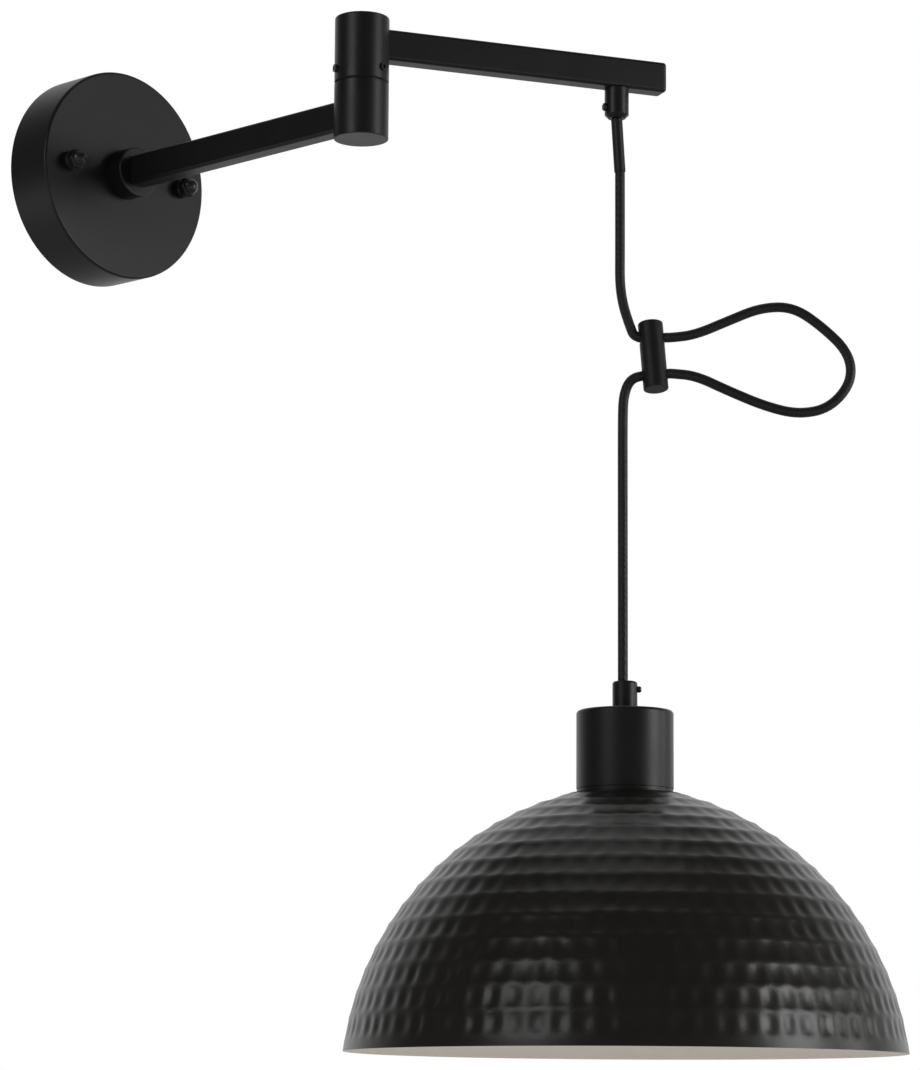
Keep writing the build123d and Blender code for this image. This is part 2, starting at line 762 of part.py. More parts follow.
def make_shade_ring():
    top = shade_top - shade_wall - 0.1
    low = top - shade_ring_thick
    inner = holder_radius + EASY
    ring = turned([(inner, low), (shade_ring_radius - 1, low), (shade_ring_radius, low + 1),
                   (shade_ring_radius, top), (inner, top)], shade_axis)
    notches = 24
    for notch in range(notches):
        turn = 2 * pi * notch / notches
        place = shade_axis + Vector(shade_ring_radius * cos(turn), shade_ring_radius * sin(turn), low + 2.0)
        ring -= rod(1.1, place - UP * 4, place + UP * 2)
    return ring


# The shade's section: one large arc from rim to neck, dented inwards row by row
chord = sqrt((shade_radius - shade_neck_radius)**2 + shade_height**2)
inward = sqrt(shade_curve_radius**2 - chord**2 / 4)
arc_centre = ((shade_radius + shade_neck_radius) / 2 - inward * shade_height / chord,
              shade_height / 2 - inward * (shade_radius - shade_neck_radius) / chord)
rim_turn = atan2(-arc_centre[1], shade_radius - arc_centre[0])
neck_turn = atan2(shade_height - arc_centre[1], shade_neck_radius - arc_centre[0])
row_turn = (neck_turn - rim_turn - shade_rim_band / shade_curve_radius) / shade_rows


def on_arc(turn, depth):
    """A place on the shade's section, that far under its outer arc."""
    reach = shade_curve_radius - depth
    return (arc_centre[0] + reach * cos(turn), shade_rim + arc_centre[1] + reach * sin(turn))


def section_edge(depth):
    """The dented arc from the rim band to the neck, that far under the outer face."""
    lines = []
    start_turn = rim_turn + shade_rim_band / shade_curve_radius
    for row in range(shade_rows):
        low = start_turn + row * row_turn
        dent = min(dent_step * (row + 1), dent_limit)
        lines.append(ThreePointArc(on_arc(low, depth), on_arc(low + row_turn / 2, depth + dent),
                                   on_arc(low + row_turn, depth)))
    return lines


def make_shade():
    outer = section_edge(0)
    inner = section_edge(shade_wall)
    hole = holder_radius + 0.3
    outer_neck = outer[-1] @ 1
    inner_neck = inner[-1] @ 1
    start_turn = rim_turn + shade_rim_band / shade_curve_radius
    rim_outer = on_arc(rim_turn, 0)
    rim_inner = on_arc(rim_turn, shade_wall)
    lines = [ThreePointArc(rim_outer, on_arc((rim_turn + start_turn) / 2, 0), outer[0] @ 0)]
    lines += outer
    lines += [Line(outer_neck, (hole, shade_top)), Line((hole, shade_top), (hole, shade_top - shade_wall)),
              Line((hole, shade_top - shade_wall), (inner_neck.X, shade_top - shade_wall)),
              Line((inner_neck.X, shade_top - shade_wall), inner_neck)]
    lines += inner
    lines += [ThreePointArc(inner[0] @ 0, on_arc((rim_turn + start_turn) / 2, shade_wall), rim_inner),
              Line(rim_inner, rim_outer)]
    face = make_face(Curve() + lines)
    return Pos(shade_axis.X, shade_axis.Y, 0) * revolve(Plane.XZ * face, Axis.Z)


def make_lamp_cores():
    """The two cores from the cord's end, through the grip's tail, to the contact screws."""
    cores = []
    top = lower_route[-1][2]
    for side in (-1, 1):
        points = [hang((side * 1.3 + lamp_cord_offset, 0, top - 0.3)), hang((side * 1.4, 0, tail_bottom + 4)),
                  hang((side * 3.0, 0, tail_bottom - 4)), hang((side * 4.4, 0, insert_bottom + 10.3))]
        cores.append(tube_along(points, 1.0, "lamp core"))
    return group(*cores)


save("lamp_cord_grip", make_lamp_grip())
save("lamp_grip_screw", make_lamp_screw())
save("lamp_cup", make_cup())
save("cup_nut", make_cup_nut())
save("lampholder_cap", make_holder_cap())
save("lampholder_body", make_holder_body())
save("lampholder_insert", make_holder_insert())
save("contact_screws", group(make_contact_screw(-1), make_contact_screw(1)))
save("contact_shell", make_contact_shell())
save("centre_contact", make_centre_contact())
save("shade_disc", make_shade_disc())
save("shade_ring", make_shade_ring())
save("shade", make_shade())
save("lamp_cores", make_lamp_cores())
print("neck pivot", neck_pivot, "cord pivot", cord_pivot, "shade axis", shade_axis, "rim", shade_rim)
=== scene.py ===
from math import atan2, cos, hypot, pi, radians, sin, sqrt

import bpy
import numpy as np
from mathutils import Matrix, Vector


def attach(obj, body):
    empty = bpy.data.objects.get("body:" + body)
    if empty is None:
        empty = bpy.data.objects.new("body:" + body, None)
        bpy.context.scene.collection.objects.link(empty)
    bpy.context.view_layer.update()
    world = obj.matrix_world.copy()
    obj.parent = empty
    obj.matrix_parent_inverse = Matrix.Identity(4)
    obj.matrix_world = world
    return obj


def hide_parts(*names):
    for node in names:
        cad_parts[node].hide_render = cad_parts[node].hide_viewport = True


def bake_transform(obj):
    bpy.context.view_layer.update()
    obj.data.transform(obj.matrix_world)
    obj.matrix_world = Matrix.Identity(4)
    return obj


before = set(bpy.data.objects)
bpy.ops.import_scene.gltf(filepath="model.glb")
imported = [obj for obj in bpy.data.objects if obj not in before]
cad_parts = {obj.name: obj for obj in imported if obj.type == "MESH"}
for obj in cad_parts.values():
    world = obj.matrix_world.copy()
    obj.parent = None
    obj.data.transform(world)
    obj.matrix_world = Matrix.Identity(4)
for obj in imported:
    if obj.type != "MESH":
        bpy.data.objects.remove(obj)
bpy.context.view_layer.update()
MM = 0.001


# ---- Wall plate ---------------------------------------------------------------------------------
# A stamped zinc-plated steel crossbar that screws to the wall. Two studs stand out of it and
# carry the canopy. It is seen only from behind.
class Link:
    """A socket of the material being written, with sums written as Python expressions."""

    def __init__(self, tree, socket):
        self.tree, self.socket = tree, socket

    def _sum(self, operation, first, second):
        return node(self.tree, "ShaderNodeMath", {"operation": operation}, [first, second])

    def __add__(self, other):
        return self._sum("ADD", self, other)

    def __sub__(self, other):
        return self._sum("SUBTRACT", self, other)

    def __rsub__(self, other):
        return self._sum("SUBTRACT", other, self)

    def __mul__(self, other):
        return self._sum("MULTIPLY", self, other)

    def __gt__(self, other):
        return self._sum("GREATER_THAN", self, other)

    __radd__ = __add__
    __rmul__ = __mul__


def node(tree, kind, settings=None, inputs=(), output=0):
    """Adds a shader node, sets it up, then gives its sockets values or links."""
    made = tree.nodes.new(kind)
    for key, value in (settings or {}).items():
        if key == "stops":
            for stop in value[2:]:
                made.color_ramp.elements.new(stop[0])
            for element, (place, tone) in zip(made.color_ramp.elements, value):
                element.position, element.color = place, (tone, tone, tone, 1)
        else:
            setattr(made, key, value)
    pairs = inputs.items() if isinstance(inputs, dict) else enumerate(inputs)
    for key, value in pairs:
        if isinstance(value, Link):
            tree.links.new(value.socket, made.inputs[key])
        elif value is not None:
            made.inputs[key].default_value = value
    return Link(tree, made.outputs[output])


def finish_of(name, colour, roughness, metallic=0.0, **sockets):
    """A new material with its shader's own sockets set; returns it with its tree and shader."""
    material = bpy.data.materials.new(name)
    material.use_nodes = True
    shader = material.node_tree.nodes["Principled BSDF"]
    shader.inputs["Base Color"].default_value = (*colour, 1)
    shader.inputs["Roughness"].default_value = roughness
    shader.inputs["Metallic"].default_value = metallic
    for key, value in sockets.items():
        shader.inputs[key.replace("_", " ")].default_value = value
    return material, material.node_tree, shader


def feed(tree, shader, **links):
    """Links texture sockets to the shader's sockets of those names."""
    for key, link in links.items():
        tree.links.new(link.socket, shader.inputs[key.replace("_", " ")])


def noise(tree, size, detail=3.0):
    """Fractal noise in the object's own place; size is that of its blotches, in metres."""
    place = node(tree, "ShaderNodeTexCoord", output=3)
    return node(tree, "ShaderNodeTexNoise", {},
                {"Vector": place, "Scale": 1 / size, "Detail": detail})


def tinted(tree, factor, low, high):
    """A colour that runs from low to high with the factor."""
    return node(tree, "ShaderNodeMix", {"data_type": "RGBA"},
                {0: factor, 6: (*low, 1), 7: (*high, 1)}, output=2)


def dress(material, slot_name, *names):
    """Gives CAD pieces their finish."""
    for name in names:
        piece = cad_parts[name]
        piece.data.materials.clear()
        piece.data.materials.append(material)


zinc, tree, shader = finish_of("zinc_plating", (0.55, 0.55, 0.53), 0.38, metallic=1.0)
cloud = noise(tree, 0.004, 4.0)
feed(tree, shader, Base_Color=tinted(tree, cloud, (0.40, 0.40, 0.38), (0.66, 0.66, 0.65)),
     Roughness=cloud * 0.3 + 0.22)
dress(zinc, "zinc_steel", "wall_plate", "canopy_studs", "stud_nuts", "earth_screw", "earth_washer",
      "collar_nipple", "nipple_nut", "nipple_washer", "cup_nut", "elbow_shaft")

# ---- Terminal block and supply cores ------------------------------------------------------------
# A moulded connector block on the wall plate, with a brass screw at each end of each core. The
# cores are copper in coloured plastic, and run on into the lower arm.
white_plastic, tree, shader = finish_of("moulded_block", (0.78, 0.77, 0.73), 0.42)
dress(white_plastic, "white_plastic", "terminal_block")

brass, tree, shader = finish_of("bare_brass", (0.72, 0.50, 0.20), 0.3, metallic=1.0)
stain = noise(tree, 0.003, 5.0)
feed(tree, shader, Base_Color=tinted(tree, stain, (0.52, 0.34, 0.13), (0.80, 0.58, 0.26)),
     Roughness=stain * 0.3 + 0.18)
dress(brass, "brass", "terminal_screws", "contact_screws", "contact_shell", "centre_contact")

insulation, tree, shader = finish_of("core_insulation", (0.10, 0.045, 0.02), 0.35)
place = node(tree, "ShaderNodeTexCoord", output=3)
side = node(tree, "ShaderNodeSeparateXYZ", {}, [place]) > 0.0
feed(tree, shader, Base_Color=tinted(tree, side, (0.020, 0.060, 0.30), (0.16, 0.060, 0.022)))
dress(insulation, "core_insulation", "supply_cores", "lamp_cores", "lower_arm_lead",
      "upper_arm_lead")

# ---- Canopy -------------------------------------------------------------------------------------
# A shallow round cup, spun from 1.5 mm steel sheet and powder-coated satin black, that hides the
# wall plate. Its edge is rolled round, and its rim stands on the wall.
def clear_selection():
    bpy.ops.object.select_all(action="DESELECT")


def pick(piece):
    clear_selection()
    piece.select_set(True)
    bpy.context.view_layer.objects.active = piece


def turn_up(name, section, sides=128):
    """A turned piece about +Z. A circle is drawn out along its half section, given as
    (radius, height) in millimetres; radius 0 closes it in a pole."""
    clear_selection()
    least = 1e-4
    radius, height = max(section[0][0], least), section[0][1]
    bpy.ops.mesh.primitive_circle_add(vertices=sides, radius=radius * MM)
    piece = bpy.context.object
    piece.name = piece.data.name = name
    bpy.ops.object.mode_set(mode="EDIT")
    bpy.ops.mesh.select_mode(type="VERT")
    bpy.ops.mesh.select_all(action="SELECT")
    bpy.ops.transform.translate(value=(0, 0, height * MM))
    for next_radius, next_height in section[1:]:
        next_radius = max(next_radius, least)
        bpy.ops.mesh.extrude_region_move(
            TRANSFORM_OT_translate={"value": (0, 0, (next_height - height) * MM)})
        share = next_radius / radius
        bpy.ops.transform.resize(value=(share, share, 1), center_override=(0, 0, 0))
        radius, height = next_radius, next_height
    bpy.ops.mesh.select_all(action="SELECT")
    bpy.ops.mesh.remove_doubles(threshold=1e-6)
    bpy.ops.mesh.normals_make_consistent(inside=False)
    bpy.ops.object.mode_set(mode="OBJECT")
    return piece


def ring_of(section):
    """The half section of a piece with a hole through it, closed on itself."""
    return section + section[:1]


def rounded(corner_centre, radius, start, end, steps=6):
    """Points of a rounded edge in a half section, from one angle to another in degrees."""
    turns = [radians(start + (end - start) * step / steps) for step in range(steps + 1)]
    return [(corner_centre[0] + radius * cos(t), corner_centre[1] + radius * sin(t)) for t in turns]


def settle(piece, place=(0, 0, 0), direction=(0, 0, 1), roll=0.0):
    """Stands a piece that was made about +Z on its own axis, with that place in its mesh."""
    turn = Vector(direction).to_track_quat("Z", "Y").to_matrix().to_4x4()
    turn = turn @ Matrix.Rotation(roll, 4, "Z")
    piece.matrix_world = Matrix.Translation(Vector(place) * MM) @ turn
    pick(piece)
    bpy.ops.object.transform_apply(location=True, rotation=True, scale=True)
    return piece


def level_normals(piece):
    """Keeps large faces shading flat beside their rounded edges."""
    even = piece.modifiers.new("even", "WEIGHTED_NORMAL")
    even.keep_sharp = True
    bpy.ops.object.modifier_apply(modifier="even")


def ease(piece, width, segments=2, angle=30):
    """Breaks the sharp edges and smooths the rest."""
    pick(piece)
    if width:
        bevel = piece.modifiers.new("eased", "BEVEL")
        bevel.width, bevel.segments = width * MM, segments
        bevel.limit_method, bevel.angle_limit = "ANGLE", radians(angle)
        bpy.ops.object.modifier_apply(modifier="eased")
    bpy.ops.object.shade_smooth_by_angle(angle=radians(angle))
    level_normals(piece)
    return piece


def join(piece, *others):
    pick(piece)
    for other in others:
        other.select_set(True)
    bpy.ops.object.join()
    return piece


def fit(piece, body, slot_name, material, *nodes):
    """Gives a finished piece its finish, its moving body and the CAD pieces it stands for."""
    piece.data.materials.clear()
    piece.data.materials.append(material)
    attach(piece, body)
    if nodes:
        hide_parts(*nodes)
    return piece


def bumped(tree, height, strength, distance=0.0003):
    """A small relief from a height that runs from 0 to 1; the distance is in metres."""
    return node(tree, "ShaderNodeBump", {},
                {"Strength": strength, "Distance": distance, "Height": height})


black_paint, tree, shader = finish_of("satin_black_powder_coat", (0.0055, 0.0055, 0.0056), 0.38,
                                      Specular_IOR_Level=0.5)
peel = noise(tree, 0.0011, 2.0)
wear = noise(tree, 0.02, 4.0)
worn = tinted(tree, wear, (0.0036, 0.0036, 0.0037), (0.0056, 0.0056, 0.0057))
feed(tree, shader, Base_Color=worn, Roughness=wear * 0.10 + 0.35,
     Normal=bumped(tree, peel, 0.10, 0.0004))

canopy_radius, canopy_depth, canopy_wall, canopy_edge = 60.0, 30.0, 1.5, 1.5
nipple_hole = 6.0
canopy = turn_up("canopy_shell", ring_of(
    [(canopy_radius - canopy_wall, 0.0), (canopy_radius, 0.0)]
    + rounded((canopy_radius - canopy_edge, canopy_depth - canopy_edge), canopy_edge, 0, 90, 8)
    + [(nipple_hole, canopy_depth), (nipple_hole, canopy_depth - canopy_wall),
       (canopy_radius - canopy_wall, canopy_depth - canopy_wall)]), sides=192)
wall_out = (0, -1, 0)
ease(settle(canopy, direction=wall_out), 0.15)
fit(canopy, "wall_side", "black_paint", black_paint, "canopy")

# ---- Spacers and cap nuts -----------------------------------------------------------------------
# Two turned rings and two domed hexagon nuts, steel in the same black, that hold the canopy on
# the studs. The nut's hexagon is chamfered where the dome begins.
stud_spacing, stud_clearance = 84.4, 2.6
spacer_depth, spacer_radius, spacer_chamfer = 4.0, 5.5, 0.6
nut_hex, nut_dome, nut_flats, dome_radius = 4.5, 4.5, 10.0, 4.8
nut_corner = nut_flats / 2 / cos(pi / 6)
nut_seat, nut_shoulder = spacer_depth, spacer_depth + nut_hex
spacers, nuts = [], []
for side in (-1, 1):
    place = (side * stud_spacing / 2, -canopy_depth, 0)
    spacer = turn_up("spacer", ring_of(
        [(stud_clearance, 0), (spacer_radius - 0.4, 0), (spacer_radius, 0.4),
         (spacer_radius, spacer_depth - spacer_chamfer),
         (spacer_radius - spacer_chamfer, spacer_depth), (stud_clearance, spacer_depth)]), sides=64)
    spacers.append(settle(spacer, place, wall_out))
    hexagon = turn_up("nut", [
        (0, nut_seat), (nut_corner * 0.94, nut_seat), (nut_corner, nut_seat + 0.35),
        (nut_corner, nut_shoulder - 0.5), (nut_corner * 0.90, nut_shoulder),
        (0, nut_shoulder)], sides=6)
    ease(hexagon, 0.16, 2)
    dome = turn_up("dome", [
        (0, nut_shoulder - 0.3), (dome_radius - 0.5, nut_shoulder - 0.3),
        (dome_radius - 0.35, nut_shoulder + 0.25)]
        + rounded((0, nut_shoulder + nut_dome - dome_radius), dome_radius, 14, 90, 12), sides=64)
    ease(dome, 0)
    nuts.append(settle(join(hexagon, dome), place, wall_out, roll=pi / 6))
spacers = ease(join(*spacers), 0.1)
spacers.name = "canopy_spacer_rings"
nuts = join(*nuts)
nuts.name = "canopy_domed_nuts"
fit(spacers, "wall_side", "black_paint", black_paint, "canopy_spacers")

screw_black, tree, shader = finish_of("blackened_steel", (0.008, 0.008, 0.008), 0.36,
                                      Specular_IOR_Level=0.65)
rub = noise(tree, 0.003, 4.0)
feed(tree, shader, Roughness=rub * 0.14 + 0.28)
fit(nuts, "wall_side", "black_screw", screw_black, "canopy_cap_nuts")

# ---- Arm collar ---------------------------------------------------------------------------------
# A short turned boss between the canopy and the arm, painted with them.
collar_radius, collar_front, collar_edge, nipple_bore = 14.25, 41.5, 0.8, 5.2
collar = turn_up("collar_boss", ring_of(
    [(nipple_bore, canopy_depth), (collar_radius - 0.25, canopy_depth),
     (collar_radius, canopy_depth + 0.25), (collar_radius, collar_front - collar_edge)]
    + rounded((collar_radius - collar_edge, collar_front - collar_edge), collar_edge, 0, 90, 5)
    + [(nipple_bore, collar_front)]), sides=128)
ease(settle(collar, direction=wall_out), 0)
fit(collar, "wall_side", "black_paint", black_paint, "arm_collar")

# ---- Lower arm ----------------------------------------------------------------------------------
# Rectangular steel tube with rounded corners, welded between the collar and the elbow.
tube_width, tube_height, tube_wall, tube_corner = 12.0, 17.0, 1.5, 2.0
elbow = Vector((0, -221.0, 0))
barrel_radius = 14.75


def rounded_bar(name, length):
    """A bar of the arm's section along +X, with its four long edges rounded."""
    clear_selection()
    bpy.ops.mesh.primitive_cube_add(size=MM)
    piece = bpy.context.object
    piece.name = piece.data.name = name
    bpy.ops.object.mode_set(mode="EDIT")
    bpy.ops.transform.resize(value=(length, tube_width, tube_height), center_override=(0, 0, 0))
    bpy.ops.mesh.select_mode(type="EDGE")
    bpy.ops.mesh.select_all(action="DESELECT")
    bpy.ops.object.mode_set(mode="OBJECT")
    for edge in piece.data.edges:
        a, b = (piece.data.vertices[v].co for v in edge.vertices)
        edge.select = abs(a.x - b.x) > length * MM / 2
    bpy.ops.object.mode_set(mode="EDIT")
    bpy.ops.mesh.bevel(offset=tube_corner * MM, segments=6, affect="EDGES")
    bpy.ops.mesh.select_mode(type="FACE")
    bpy.ops.mesh.select_all(action="DESELECT")
    bpy.ops.object.mode_set(mode="OBJECT")
    return piece


def lay(piece, middle, turn):
    """Puts a bar in its place with its own middle there, turned about the vertical."""
    piece.matrix_world = Matrix.Translation(middle * MM) @ Matrix.Rotation(turn, 4, "Z")
    pick(piece)
    bpy.ops.object.transform_apply(location=True, rotation=True, scale=True)
    return ease(piece, 0)


def tube(name, start, end, height):
    """A length of the arm's tube: a bar hollowed from both of its ends."""
    along = end - start
    piece = rounded_bar(name, along.length)
    for face in piece.data.polygons:
        face.select = abs(face.normal.x) > 0.9
    bpy.ops.object.mode_set(mode="EDIT")
    bpy.ops.mesh.delete(type="FACE")
    bpy.ops.object.mode_set(mode="OBJECT")
    hollow = piece.modifiers.new("wall", "SOLIDIFY")
    hollow.thickness, hollow.offset = tube_wall * MM, -1
    bpy.ops.object.modifier_apply(modifier="wall")
    return lay(piece, (start + end) / 2 + Vector((0, 0, height)), atan2(along.y, along.x))


into_barrel = sqrt(barrel_radius**2 - (tube_width / 2)**2) - 0.6
lower_arm = tube("lower_arm_tube", Vector((0, -collar_front + 3.0, 0)),
                 elbow + Vector((0, into_barrel, 0)), 0.0)
fit(lower_arm, "wall_side", "black_paint", black_paint, "lower_arm")

# ---- Elbow --------------------------------------------------------------------------------------
# Two turned barrels, one on each arm, stacked on a hollow shaft with a thin washer between them.
# The lower one is welded to the lower arm.
barrel_low, seam, seam_gap, barrel_high, shaft_fit = -14.3, 16.2, 0.8, 53.2, 9.05
barrel_end, low_edge, seam_chamfer, high_edge = 3.0, 0.5, 0.35, 1.0
lower_barrel = turn_up("elbow_barrel_low", [
    (0, barrel_low), (barrel_radius - 0.7, barrel_low)]
    + rounded((barrel_radius - low_edge, barrel_low + low_edge), low_edge, -90, 0, 4)
    + [(barrel_radius, seam - seam_chamfer), (barrel_radius - seam_chamfer, seam),
       (shaft_fit, seam), (shaft_fit, barrel_low + barrel_end),
       (0, barrel_low + barrel_end)], sides=160)
ease(settle(lower_barrel, elbow), 0)
fit(lower_barrel, "wall_side", "black_paint", black_paint, "elbow_lower_barrel")

upper_low = seam + seam_gap
upper_barrel = turn_up("elbow_barrel_high", [
    (0, barrel_high - barrel_end), (shaft_fit, barrel_high - barrel_end), (shaft_fit, upper_low),
    (barrel_radius - seam_chamfer, upper_low), (barrel_radius, upper_low + seam_chamfer),
    (barrel_radius, barrel_high - high_edge)]
    + rounded((barrel_radius - high_edge, barrel_high - high_edge), high_edge, 0, 90, 6)
    + [(0, barrel_high)], sides=160)
ease(settle(upper_barrel, elbow), 0)
fit(upper_barrel, "swing_arm", "black_paint", black_paint, "elbow_upper_barrel")
dress(screw_black, "black_screw", "elbow_set_screws")

# ---- Upper arm ----------------------------------------------------------------------------------
# The same tube on the upper barrel, with a cap welded into its end and ground round.
arm_turn, arm_height, tube_end, arm_end = radians(-25.24), 38.9, 175.0, 178.0
arm_direction = Vector((cos(arm_turn), sin(arm_turn), 0))
upper_arm = tube("upper_arm_tube", elbow + arm_direction * into_barrel,
                 elbow + arm_direction * tube_end, arm_height)
fit(upper_arm, "swing_arm", "black_paint", black_paint, "upper_arm")

cap_edge = 1.8
end_cap = rounded_bar("upper_arm_cap", arm_end - tube_end)
for face in end_cap.data.polygons:
    face.select = face.normal.x > 0.9
bpy.ops.object.mode_set(mode="EDIT")
bpy.ops.mesh.bevel(offset=cap_edge * MM, segments=6, affect="EDGES")
bpy.ops.object.mode_set(mode="OBJECT")
cap_middle = elbow + arm_direction * (tube_end + arm_end) / 2 + Vector((0, 0, arm_height))
lay(end_cap, cap_middle, arm_turn)
fit(end_cap, "swing_arm", "black_paint", black_paint, "upper_arm_end_cap")

# ---- Arm cord grip ------------------------------------------------------------------------------
# A turned ferrule under the arm's end, chamfered at its mouth. A side screw clamps the cord in it.
grip_axis = elbow + arm_direction * 150.0
grip_low, grip_radius, grip_chamfer, cord_radius = 13.5, 6.7, 2.0, 2.75
grip_bore = cord_radius + 0.15
arm_underside = arm_height - tube_height / 2
arm_grip = turn_up("arm_cord_ferrule", ring_of(
    [(grip_bore, grip_low), (grip_radius - grip_chamfer, grip_low),
     (grip_radius, grip_low + grip_chamfer), (grip_radius, arm_underside),
     (grip_bore, arm_underside)]), sides=96)
ease(settle(arm_grip, grip_axis), 0.15)
fit(arm_grip, "swing_arm", "black_paint", black_paint, "arm_cord_grip")
dress(screw_black, "black_screw", "arm_grip_screw")

# ---- Neck sleeve --------------------------------------------------------------------------------
# A stiff length of shrunk-on tube over the cord's first 30 mm, cut square at its lower end. It
# leans a little with the cord's pull.
cord_turn = radians(-46.5)
across = Vector((cos(cord_turn), sin(cord_turn), 0))
away = Vector((-sin(cord_turn), cos(cord_turn), 0))
up = Vector((0, 0, 1))
shade_offset, cord_offset, sleeve_drop = 4.3, 2.5, 30.3
shade_axis = grip_axis + across * shade_offset
neck_pivot = grip_axis + up * (grip_low - 0.5)
cord_pivot = shade_axis - across * cord_offset + up * (neck_pivot.z - sleeve_drop)
sleeve_radius, sleeve_bore = 3.15, cord_radius + 0.12
sleeve_line = cord_pivot - neck_pivot
sleeve_start, sleeve_end = 0.4, sleeve_line.length - 0.5
sleeve = turn_up("cord_neck_sleeve", ring_of(
    [(sleeve_bore, sleeve_start), (sleeve_radius, sleeve_start), (sleeve_radius, sleeve_end - 0.25),
     (sleeve_radius - 0.15, sleeve_end), (sleeve_bore, sleeve_end)]), sides=64)
ease(settle(sleeve, neck_pivot, sleeve_line), 0)

sleeve_black, tree, shader = finish_of("shrunk_sleeve", (0.0065, 0.0065, 0.0065), 0.45)
grain = noise(tree, 0.0009, 3.0)
feed(tree, shader, Roughness=grain * 0.16 + 0.38, Normal=bumped(tree, grain, 0.12))
fit(sleeve, "cord_neck", "black_plastic", sleeve_black, "cord_sleeve")

# ---- Hanging cord -------------------------------------------------------------------------------
# Round 5.5 mm cord in a fine black textile braid. It drops to the adjuster, turns out of it in a
# wide loop, comes back through it and drops to the lamp. Routes are across, away and up from the
# shade's axis, in millimetres.
def hang(point):
    return shade_axis + across * point[0] + away * point[1] + up * point[2]


def braided(name, length):
    """The braid of a cord of that length in millimetres: strands crossing over and under on its
    own map, which runs along it and round it. A strand goes once round in the lay."""
    material, tree, shader = finish_of(name, (0.008, 0.008, 0.008), 0.44, Sheen_Weight=0.1,
                                       Sheen_Roughness=0.4, Specular_IOR_Level=0.5)
    run = node(tree, "ShaderNodeTexCoord", output=2)
    along_cord = node(tree, "ShaderNodeSeparateXYZ", {}, [run])
    round_cord = Link(tree, along_cord.socket.node.outputs[1])
    lay_length, strands, above_zero = 2 * pi * cord_radius, 8, 2000.0
    along = along_cord * (length / lay_length * strands)
    turn = round_cord * strands
    left, right = along + turn, along - turn

    def crown(phase):
        return node(tree, "ShaderNodeMath", {"operation": "PINGPONG"}, [phase, 0.5]) * 2.0

    def whole(phase):
        return node(tree, "ShaderNodeMath", {"operation": "FLOOR"}, [phase])

    cell = whole(left) + whole(right) + above_zero
    over = node(tree, "ShaderNodeMath", {"operation": "MODULO"}, [cell, 2.0]) > 0.5
    cross = node(tree, "ShaderNodeMix", {"data_type": "FLOAT"},
                 {0: over, 2: crown(left), 3: crown(right)})
    ply = node(tree, "ShaderNodeTexNoise", {}, {"Vector": run, "Scale": 900.0, "Detail": 2.0})
    height = cross * 0.85 + ply * 0.3
    # Painted shade: the braid's colour darkens towards the strands' edges and where they dip under
    # the crossing strands, and is lighter on their crowns; the ply noise adds a random tone of the
    # fibres.
    crevice_shaded_thread = tinted(tree, height, (0.0035, 0.0035, 0.0036), (0.0105, 0.0105, 0.0108))
    feed(tree, shader, Base_Color=crevice_shaded_thread, Normal=bumped(tree, height, 0.32))
    return material


def run_of(name, points, thick=True):
    """A cord's smooth line by its chosen points, as a round cord or as a bare line."""
    data = bpy.data.curves.new(name, "CURVE")
    data.dimensions = "3D"
    line = data.splines.new("NURBS")
    line.points.add(len(points) - 1)
    for point, place in zip(line.points, points):
        point.co = (*(place * MM), 1)
    line.order_u = 3
    line.use_endpoint_u = True
    line.resolution_u = 12
    if thick:
        data.bevel_depth = cord_radius * MM
        data.bevel_resolution = 6
        data.use_fill_caps = True
    cord = bpy.data.objects.new(name, data)
    bpy.context.scene.collection.objects.link(cord)
    return cord


tilt, lean = radians(4.2), radians(10.0)
hole_direction = across * cos(tilt) + up * sin(tilt)
adjuster_radius, adjuster_length, hole_reach = 6.9, 39.0, 10.6
lean_away = hole_reach * sin(lean)
upper_hole, lower_hole = (14.9, lean_away, -110.2), (16.3, -lean_away, -131.2)
past_bar = hole_direction * (adjuster_radius + 0.5)

upper_points = [cord_pivot]
upper_points += [hang(point) for point in [
    (-2.5, 0, -30), (-2.5, 0, -62), (-2.6, 0.4, -80), (-0.8, 0.9, -92), (2.6, 1.6, -102.5)]]
upper_points += [hang(upper_hole) - hole_direction * (adjuster_radius + 2.2), hang(upper_hole)]
upper_run = run_of("hanging_cord", upper_points)
braid_upper = braided("braid_upper", 98.0)
fit(upper_run, "cord_hanger", "cord_braid", braid_upper, "cord_upper_run")

# Its upper end is a half ball, so the bend at the sleeve stays closed when the lamp swings.
upper_end = turn_up("cord_upper_end",
                    [(0, 0)] + rounded((0, 0), cord_radius - 0.04, 0, 90, 10), sides=48)
ease(settle(upper_end, cord_pivot), 0)
fit(upper_end, "cord_hanger", "cord_braid", braid_upper)

loop_points = [hang(upper_hole), hang(upper_hole) + past_bar]
loop_points += [hang(point) for point in [
    (25, 1.8, -109.8), (38.5, 1.7, -108.2), (57, 1.5, -100.2), (74.5, 1.2, -92.8),
    (92.5, 0.8, -92.2), (108.5, 0.4, -103.5), (122.8, 0, -118), (124.4, -0.4, -134),
    (112.3, -0.8, -149), (95, -1.2, -152.8), (77, -1.5, -148.6), (56, -1.7, -139.8),
    (39, -1.8, -131.8), (26, -1.85, -130.6)]]
loop_points += [hang(lower_hole) + past_bar, hang(lower_hole)]
loop = run_of("cord_side_loop", loop_points)
fit(loop, "cord_hanger", "cord_braid", braided("braid_loop", 253.0), "cord_loop")
tuple(hang(upper_hole) * MM)
